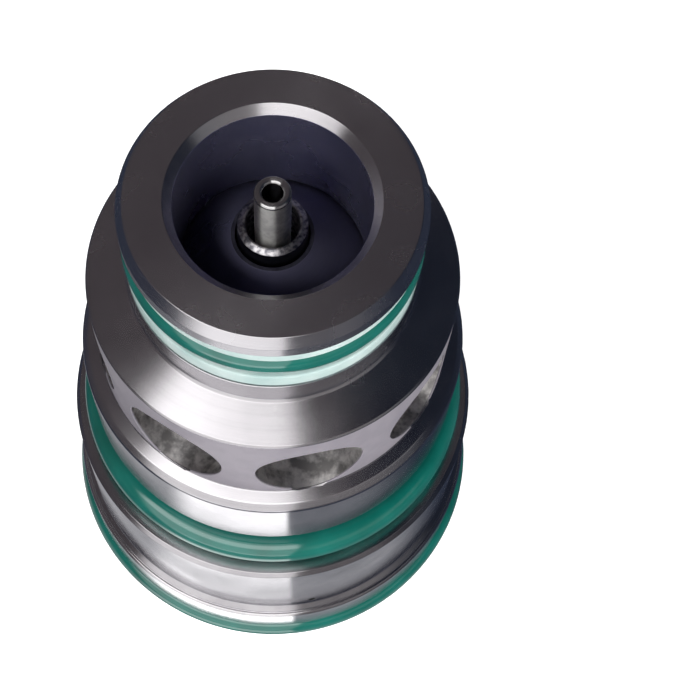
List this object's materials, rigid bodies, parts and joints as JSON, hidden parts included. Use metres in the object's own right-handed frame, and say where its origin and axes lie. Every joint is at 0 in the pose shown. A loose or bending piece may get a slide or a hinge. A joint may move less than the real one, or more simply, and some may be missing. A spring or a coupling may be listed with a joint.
{
  "type": "cartridge valve",
  "caption": "Slip-in hydraulic cartridge valve: stepped, drilled sleeve with seals, a sprung main poppet and a small pilot poppet with a central tube.",
  "frame": {"origin": "on the valve's axis, in the plane of the cover end face it stands on", "axes": "+Z along the valve's axis towards the nose with the A port; -Y through the radial port in line with the small vent drilling"},
  "size_m": [0.079, 0.079, 0.1134],
  "materials": {
    "sleeve_steel": "fine turned, light oil film",
    "poppet_steel": "hardened, turned and ground, dark",
    "bright_steel": "ground and polished",
    "spring_steel": "drawn wire",
    "black_steel": "phosphated",
    "green_rubber": "smooth moulded, oiled",
    "white_ptfe": "skived, slightly translucent",
    "bronze_ptfe": "filled PTFE"
  },
  "bodies": {
    "sleeve": {"sleeve": "sleeve_steel", "nose_o_ring": "green_rubber", "nose_backup_ring_upper": "white_ptfe", "nose_backup_ring_lower": "white_ptfe", "collar_o_ring": "green_rubber", "flange_o_ring": "green_rubber", "end_plate": "poppet_steel", "end_plate_o_ring": "green_rubber", "end_plate_retaining_ring": "black_steel", "end_plate_jet": "bright_steel", "main_spring_shim": "bright_steel", "main_spring": "spring_steel"},
    "main_poppet": {"main_poppet": "poppet_steel", "pilot_seat_ring": "bright_steel", "poppet_slide_ring": "bronze_ptfe", "poppet_energiser_ring": "green_rubber", "poppet_guide_ring": "bronze_ptfe", "pilot_spring_plate": "poppet_steel", "pilot_retaining_ring": "black_steel", "pilot_spring": "spring_steel"},
    "pilot_poppet": {"pilot_poppet": "poppet_steel", "pilot_tube": "bright_steel", "pilot_jet": "bright_steel"}
  },
  "joints": [
    {"name": "poppet_stroke", "type": "slide", "parent": "sleeve", "child": "main_poppet", "axis": [0, 0, -1], "range_m": [0, 0.012], "stiffness_N_per_m": 4000, "springref_m": -0.005, "deforming": ["main_spring"]},
    {"name": "pilot_stroke", "type": "slide", "parent": "main_poppet", "child": "pilot_poppet", "axis": [0, 0, -1], "range_m": [0, 0.0025], "stiffness_N_per_m": 150, "springref_m": -0.004, "deforming": ["pilot_spring"]}
  ]
}
